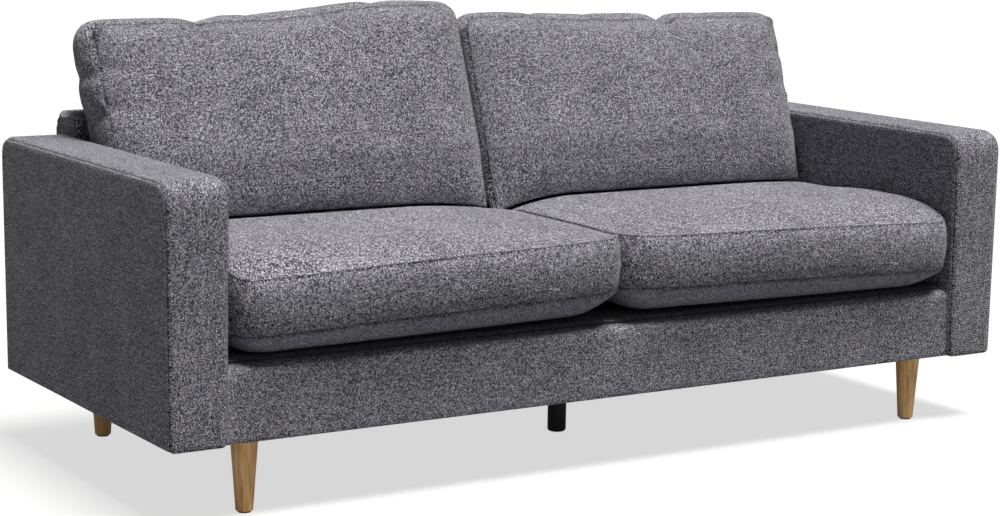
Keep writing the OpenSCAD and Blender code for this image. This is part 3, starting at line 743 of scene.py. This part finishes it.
def back_cushion(side, looks):
    name = "left" if side < 0 else "right"
    low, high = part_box(name + "_back_cushion_cover")
    centre = mid(low, high)
    half = ((high[0] - low[0]) / 2 - 0.001, 0.205, 0.054)
    sin, cos = math.sin(CUSHION_LEAN), math.cos(CUSHION_LEAN)
    # Each crease's place up the cushion, its width and its depth
    creases = [(0.110, 0.012, 0.009), (0.022, 0.015, 0.010), (-0.085, 0.02, 0.006)]
    foot_at_gap = 0.016 if side < 0 else 0.030

    def crease(x, y):
        """Folds that run in from the outer end, where the filling doesn't fill the cover."""
        inward = half[0] - side * x
        folds = sum(deep * hump(y + 0.12 * inward, place, width) for place, width, deep in creases)
        return folds * np.exp(-inward / 0.045)

    def rise(x, y, face):
        dx, dy = half[0] - np.abs(x), half[1] - np.abs(y)
        full = 0.032 if face > 0 else 0.014
        edge = 0.55 * ease(dx, 0.05) * ease(dy, 0.05) + 0.45 * ease(dx, 0.22) * ease(dy, 0.2)
        return full * edge - crease(x, y) * ease(dx, 0.01)

    def bulge(x, y, t):
        at_top = soft_step((y / half[1] - 0.9) * 10)
        at_end = soft_step((np.abs(x) / half[0] - 0.95) * 20)
        above_arm = at_end * (side * x > 0) * soft_step((y / half[1] + 0.1) / 0.5)
        least = 0.006
        size = least + 0.016 * at_top * (1 - at_end) + 0.006 * at_end + 0.015 * above_arm
        size = size - crease(x, y + 0.012 * t)
        in_slot = in_zip_slot(x, t * half[2]) & (y < 0)
        return np.where(in_slot, least - ZIP_SLOT[2], size * (1 - t * t) ** 0.7)

    def warp(points):
        x, y, z = points.T
        u, v = np.clip(x / half[0], -1, 1), np.clip(y / half[1], -1, 1)
        upper = soft_step(v)
        at_gap = soft_step((-side * u - 0.7) / 0.3)
        foot = (0.020 + foot_at_gap * at_gap) * soft_step((-v - 0.7) / 0.3)
        foot = foot * soft_step((z - 0.014) / 0.036)
        along = y + back_top(side, u) * upper - 0.008 * (1 - upper) - foot
        deep = np.where(z < 0, z * 1.22, z * (1 + 0.03 * (1 - v)))
        deep = deep - 0.014 * soft_step((-v - 0.45) / 0.55) * soft_step(z / 0.05)
        outer_corner = soft_step((np.abs(u) - 0.86) / 0.14) * soft_step((v - 0.7) / 0.3)
        along = along + 0.004 * outer_corner * np.where(side * u > 0, soft_step(0.5 - z / 0.1), 0)
        return settle(np.stack([
            centre[0] + x,
            centre[1] + along * sin - deep * cos,
            centre[2] + along * cos + deep * sin], -1))

    def settle(place):
        """Keeps points above the seat cushions and in front of the sofa's back."""
        seat, over = seat_surface(side, place[:, 0], place[:, 1])
        place[:, 2] = np.where(over, np.maximum(place[:, 2], seat + CLEARANCE), place[:, 2])
        below = place[:, 2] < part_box("back_cover")[1][2] + 0.004
        rear = np.minimum(place[:, 1], back_face(place[:, 2]) - CLEARANCE)
        place[:, 1] = np.where(below, rear, place[:, 1])
        return place

    form = Boxed(
        half, (0.008, 0.028), rise, bulge, warp,
        extra_rows=slot_lines(ZIP_SLOT[1]), extra_columns=slot_lines(ZIP_SLOT[0]))
    piece = form.skin().build(name + "_back_cushion_cover_cloth", looks["cover_fabric"])
    inflate(piece, 2.0, 0.010, shrink=0.05)
    sink_seams(piece, CUSHION_SEAM_DEPTH)
    subdivide(piece)
    # A dimple at the top outer corner, with painted shade darkening the cloth around it
    corner = warp(np.array([[side * (half[0] - 0.010), half[1] - 0.010, half[2]]]))[0]
    pinch(piece, corner, 0.018, 0.009)
    set_places(piece.data, settle(places_of(piece.data)))
    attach(piece, name + "_back_cushion")
    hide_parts(name + "_back_cushion_cover", name + "_back_filling")


# ---- Fixed upholstery ----

def padded_slab(
        name, low, high, across, radius, corner, look, nodes,
        crown=0.0, step=0.016, join=None, flare=0.0, sink=SEAM_DEPTH):
    """A padded block between two corners, whose seams run along the edges of its two panels.

    across is the axis through its thickness, radius the softness of its edges at low and high of the
    plan's second axis, and corner the radii of the panels' own corners there. crown is how far the
    panels' middles stand out more, join the height of a seam across its front, and flare how far its
    panels spread from the middle of their height to the top."""
    plan_axes = {0: (1, 2), 1: (0, 2), 2: (0, 1)}[across]
    size = [high[k] - low[k] for k in (*plan_axes, across)]
    centre = mid(low, high)
    turn = 1 - math.sqrt(0.5)       # how far a quarter circle's middle is inside its square corner
    most = max(radius)
    inset = turn * most
    half = (size[0] / 2 - inset, size[1] / 2 - inset, size[2] / 2 - inset)

    def soft(depth, r):
        d = np.clip((depth + turn * r) / r, 0, 1)
        return (np.sqrt(1 - (1 - d) ** 2) - math.sqrt(0.5)) / turn

    def rise(x, y, face):
        r = np.where(y < 0, radius[0], radius[1])
        ends, sides = soft(half[0] - np.abs(x), most), soft(half[1] - np.abs(y), r)
        edge = np.clip(ends, 0, 1) * np.clip(sides, 0, 1)
        middle = (1 - (x / half[0]) ** 2) * (1 - (y / half[1]) ** 2)
        return inset * edge + crown * middle

    def bulge(x, y, t):
        depth = half[2] * (1 - np.abs(t))
        return inset * np.clip(soft(depth, most), 0, 1) * np.ones_like(x)

    def warp(points):
        place = np.empty_like(points)
        for column, axis in enumerate((*plan_axes, across)):
            place[:, axis] = centre[axis] + points[:, column]
        place[:, across] += np.sign(points[:, 2]) * flare * points[:, 1] / half[1]
        return place

    form = Boxed(
        half, corner, rise, bulge, warp, step=step,
        join=None if join is None else join - centre[plan_axes[1]])
    piece = form.skin().build(name, look)
    sink_seams(piece, sink)
    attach(piece, "sofa_frame")
    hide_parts(*nodes)


def make_arm(side, looks):
    name = "left" if side < 0 else "right"
    low, high = (Vector(corner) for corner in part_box(name + "_arm_cover"))
    proud = Vector((0.0026, 0.0015, 0.0022))
    padded_slab(
        name + "_arm_upholstery", low - proud, high + proud, 0, (0.005, 0.014), (0.003, 0.044),
        looks["cover_fabric"], [name + "_arm_cover", name + "_arm_foam"],
        crown=0.002, step=0.015, join=0.631, flare=0.0022, sink=0.0020)


def ripple(x, z, size):
    """Slight unevenness of cloth drawn over padding."""
    return size * (np.sin(x * 23 + 3 * np.sin(z * 17)) + np.sin(z * 31 + 2 * np.sin(x * 11))) / 2


def arc(centre, r, start, stop, steps=5):
    angles = np.radians(np.linspace(start, stop, steps + 1))
    return [(centre[0] + r * math.cos(a), centre[1] + r * math.sin(a)) for a in angles]


def refined(line, step):
    """An open line of (y, z, thickness) rows with points no further apart than step."""
    rows = [line[0]]
    for a, b in zip(line, line[1:]):
        count = max(1, math.ceil(math.hypot(b[0] - a[0], b[1] - a[1]) / step))
        a, b = np.array(a), np.array(b)
        rows += [tuple(a + (b - a) * k / count) for k in range(1, count + 1)]
    return np.array(rows)


def shell(skin, line, x0, x1, step=0.016, end_radius=0.0, uneven=0.0):
    """Adds a sheet with thickness, whose section is a line of (y, z, thickness), the outside on its left.

    end_radius rounds its outer edges at x0 and x1, and uneven is the size of its ripples."""
    rows = refined(line, step)
    yz, thick = rows[:, :2], rows[:, 2]
    ahead = np.gradient(yz, axis=0)
    out = np.c_[-ahead[:, 1], ahead[:, 0]] / np.linalg.norm(ahead, axis=1, keepdims=True)
    run = np.concatenate([[0], np.cumsum(np.hypot(*np.diff(yz, axis=0).T))])
    turns = [end_radius * (1 - math.cos(math.radians(angle))) for angle in (25, 50, 75, 90) if end_radius]
    xs = spaced(x1 - x0, step, ends=turns) + (x0 + x1) / 2
    depth = np.clip(end_radius - np.minimum(xs - x0, x1 - xs), 0, end_radius)
    inset = end_radius - np.sqrt(end_radius ** 2 - depth ** 2)
    x, _ = np.meshgrid(xs, run, indexing="ij")
    move = ripple(x, run[None], uneven) * (thick > 0.004) - np.minimum(inset[:, None], thick - 0.001)
    outer = np.stack([x, yz[:, 0] + out[:, 0] * move, yz[:, 1] + out[:, 1] * move], -1)
    inner = np.stack([x, *(np.broadcast_to(yz[:, k] - out[:, k] * thick, x.shape) for k in (0, 1))], -1)
    weave = np.stack(np.broadcast_arrays(x, run[None] + 0.7), -1)
    no_seam = np.zeros(x.shape)
    skin.grid(outer, weave, no_seam)
    skin.grid(inner, weave, no_seam, flip=True)
    for edge, flip in (
            (np.s_[0], False), (np.s_[-1], True), (np.s_[:, 0], True), (np.s_[:, -1], False)):
        cloth = weave[edge]
        rim = np.stack([outer[edge], inner[edge]])
        skin.grid(rim, np.stack([cloth, cloth + 0.01]), np.zeros(rim.shape[:2]), flip=flip)
    return outer


def plate(skin, ring, x0, x1):
    """Adds a flat plate between two places across the sofa, whose outline is a ring of (y, z) points."""
    half = len(ring) // 2
    ruled = np.stack([ring[:half], ring[:-half - 1:-1]], 1)
    share = np.linspace(0, 1, 9)[None, :, None]
    face = ruled[:, :1] * (1 - share) + ruled[:, 1:] * share
    faces = [np.concatenate([np.full((*face.shape[:2], 1), x), face], -1) for x in (x0, x1)]
    turned = x0 > x1
    for points, flip in zip(faces, (not turned, turned)):
        skin.grid(points, points[..., 1:], np.zeros(face.shape[:2]), flip=flip)
    for part, flip in (
            (np.s_[:, 0], turned), (np.s_[:, -1], not turned),
            (np.s_[0], not turned), (np.s_[-1], turned)):
        rim = np.stack([faces[0][part], faces[1][part]])
        skin.grid(rim, rim[..., 1:], np.zeros(rim.shape[:2]), flip=flip)


def fixed_piece(piece, nodes):
    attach(piece, "sofa_frame")
    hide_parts(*nodes)


def make_front_rail(looks):
    low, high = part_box("front_rail_cover")
    foam, cloth, soft, crease = 0.0135, 0.0016, 0.019, 0.004
    face, foot, top, flap = low[1], low[2], high[2] - 0.001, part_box("deck_cloth")[1][2] + 0.0010
    turned_under, lap, flap_end = 0.030, 0.012, 0.120
    line = [(face + turned_under, foot, cloth)]
    line += [(y, z, cloth) for y, z in arc((face + crease, foot + crease), crease, 270, 180, 3)]
    line += [(face, foot + 0.012, foam)]
    line += [(y, z, foam) for y, z in arc((face + soft, top - soft), soft, 180, 90)]
    line += [(high[1], top, foam), (high[1] + lap, flap, cloth), (high[1] + flap_end, flap, cloth)]
    skin = Skin()
    shell(skin, line, low[0], high[0], uneven=0.0006)
    piece = skin.build("front_rail_upholstery", looks["cover_fabric"])
    fixed_piece(piece, ["front_rail_cover", "front_rail_foam"])


def make_back(looks):
    low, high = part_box("back_cover")
    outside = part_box("outside_back_cover")
    soft, front_foam, top_foam, cloth = 0.018, 0.0215, 0.0135, 0.0018
    top = high[2] - soft
    line = [(back_face(low[2]), low[2], front_foam)]
    slope = math.degrees(FRAME_LEAN)
    centre_y = back_face(top) + soft / math.cos(FRAME_LEAN)
    line += [(y, z, top_foam) for y, z in arc((centre_y, top), soft, 180 - slope, 90)]
    line += [(y, z, top_foam) for y, z in arc((high[1] - soft, top), soft, 90, 20, 4)]
    line += [(high[1], top - 0.004, cloth), (high[1], outside[1][2], cloth)]
    skin = Skin()
    outer = shell(skin, line, low[0], high[0], end_radius=0.0125, uneven=0.0008)
    plate_foot = 0.60       # the end plates begin here, out of sight between the arm and the cushion
    for end, inward in ((0, 0.012), (-1, -0.012)):
        ring = outer[end][outer[end][:, 2] > plate_foot][:, 1:]
        ring = np.r_[ring, [[ring[-1, 0], plate_foot]]]
        if len(ring) % 2:
            ring = np.delete(ring, len(ring) // 2, 0)
        plate(skin, ring, outer[end][0, 0], outer[end][0, 0] + inward)
    piece = skin.build("back_upholstery", looks["cover_fabric"])
    fixed_piece(piece, ["back_cover", "back_foam"])
    low, high = outside
    padded_slab(
        "outside_back_cloth", low, high, 1, (0.0009, 0.0009), (0.004, 0.004), looks["cover_fabric"],
        ["outside_back_cover"], crown=0.0012)


def make_deck(looks):
    low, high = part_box("deck_cloth")
    pad_low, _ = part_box("deck_pad")
    padded_slab(
        "seat_deck", (low[0], low[1], pad_low[2]), high, 2, (0.003, 0.003), (0.006, 0.006),
        looks["deck_fabric"], ["deck_cloth", "deck_pad"], step=0.03)


def make_dust_cover(looks):
    """Thin nonwoven cloth stretched under the frame, a little slack between its fixings."""
    low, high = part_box("dust_cover")
    skin = Skin()
    thick = 0.0006
    line = [(high[1], low[2], thick), (low[1], low[2], thick)]
    shell(skin, line, low[0], high[0], step=0.025)
    piece = skin.build("dust_cover_cloth", looks["dust_fabric"])
    points = places_of(piece.data)
    u = (points[:, 0] - low[0]) / (high[0] - low[0])
    v = (points[:, 1] - low[1]) / (high[1] - low[1])
    edge = np.clip(np.minimum.reduce([u, 1 - u, v, 1 - v]) * 12, 0, 1)
    points[:, 2] -= edge * (thick + ripple(points[:, 0] * 1.6, points[:, 1] * 2.1, 0.0005))
    set_places(piece.data, points)
    fixed_piece(piece, ["dust_cover"])


def make_straps(looks):
    low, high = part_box("back_straps")
    width, thick = 0.060, 0.0016
    skin = Skin()
    slope = math.tan(FRAME_LEAN)
    for x in strap_places():
        line = [
            (low[1] + (z - low[2]) * slope, z, thick)
            for z in np.linspace(low[2], high[2] - 0.0005, 12)]
        shell(skin, line, x - width / 2, x + width / 2, step=0.01)
    piece = skin.build("back_strap_webbing", looks["strap_webbing"])
    fixed_piece(piece, ["back_straps"])


def strap_places():
    """Middles of the back straps across the sofa, found from the CAD node's own points."""
    xs = np.unique(np.round(places_of(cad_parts["back_straps"].data)[:, 0], 5))
    apart = 0.01
    edges = xs[np.r_[True, np.diff(xs) > apart]]
    return [(a + b) / 2 for a, b in zip(edges[0::2], edges[1::2])]


# ---- What is left of the CAD model ----

def dress_nodes(looks):
    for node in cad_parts.values():
        for slot in node.material_slots:
            slot.material = looks[slot.material.name.split(".")[0]]


def main():
    looks = make_looks()
    make_camera()
    make_studio()
    for side in (-1, 1):
        name = "left" if side < 0 else "right"
        seat_cushion(side, looks)
        back_cushion(side, looks)
        make_zip(name + "_seat_zip", name + "_seat_cushion", False, looks)
        make_zip(name + "_back_zip", name + "_back_cushion", True, looks)
        make_arm(side, looks)
    make_front_rail(looks)
    make_back(looks)
    make_deck(looks)
    make_dust_cover(looks)
    make_straps(looks)
    dress_nodes(looks)


main()
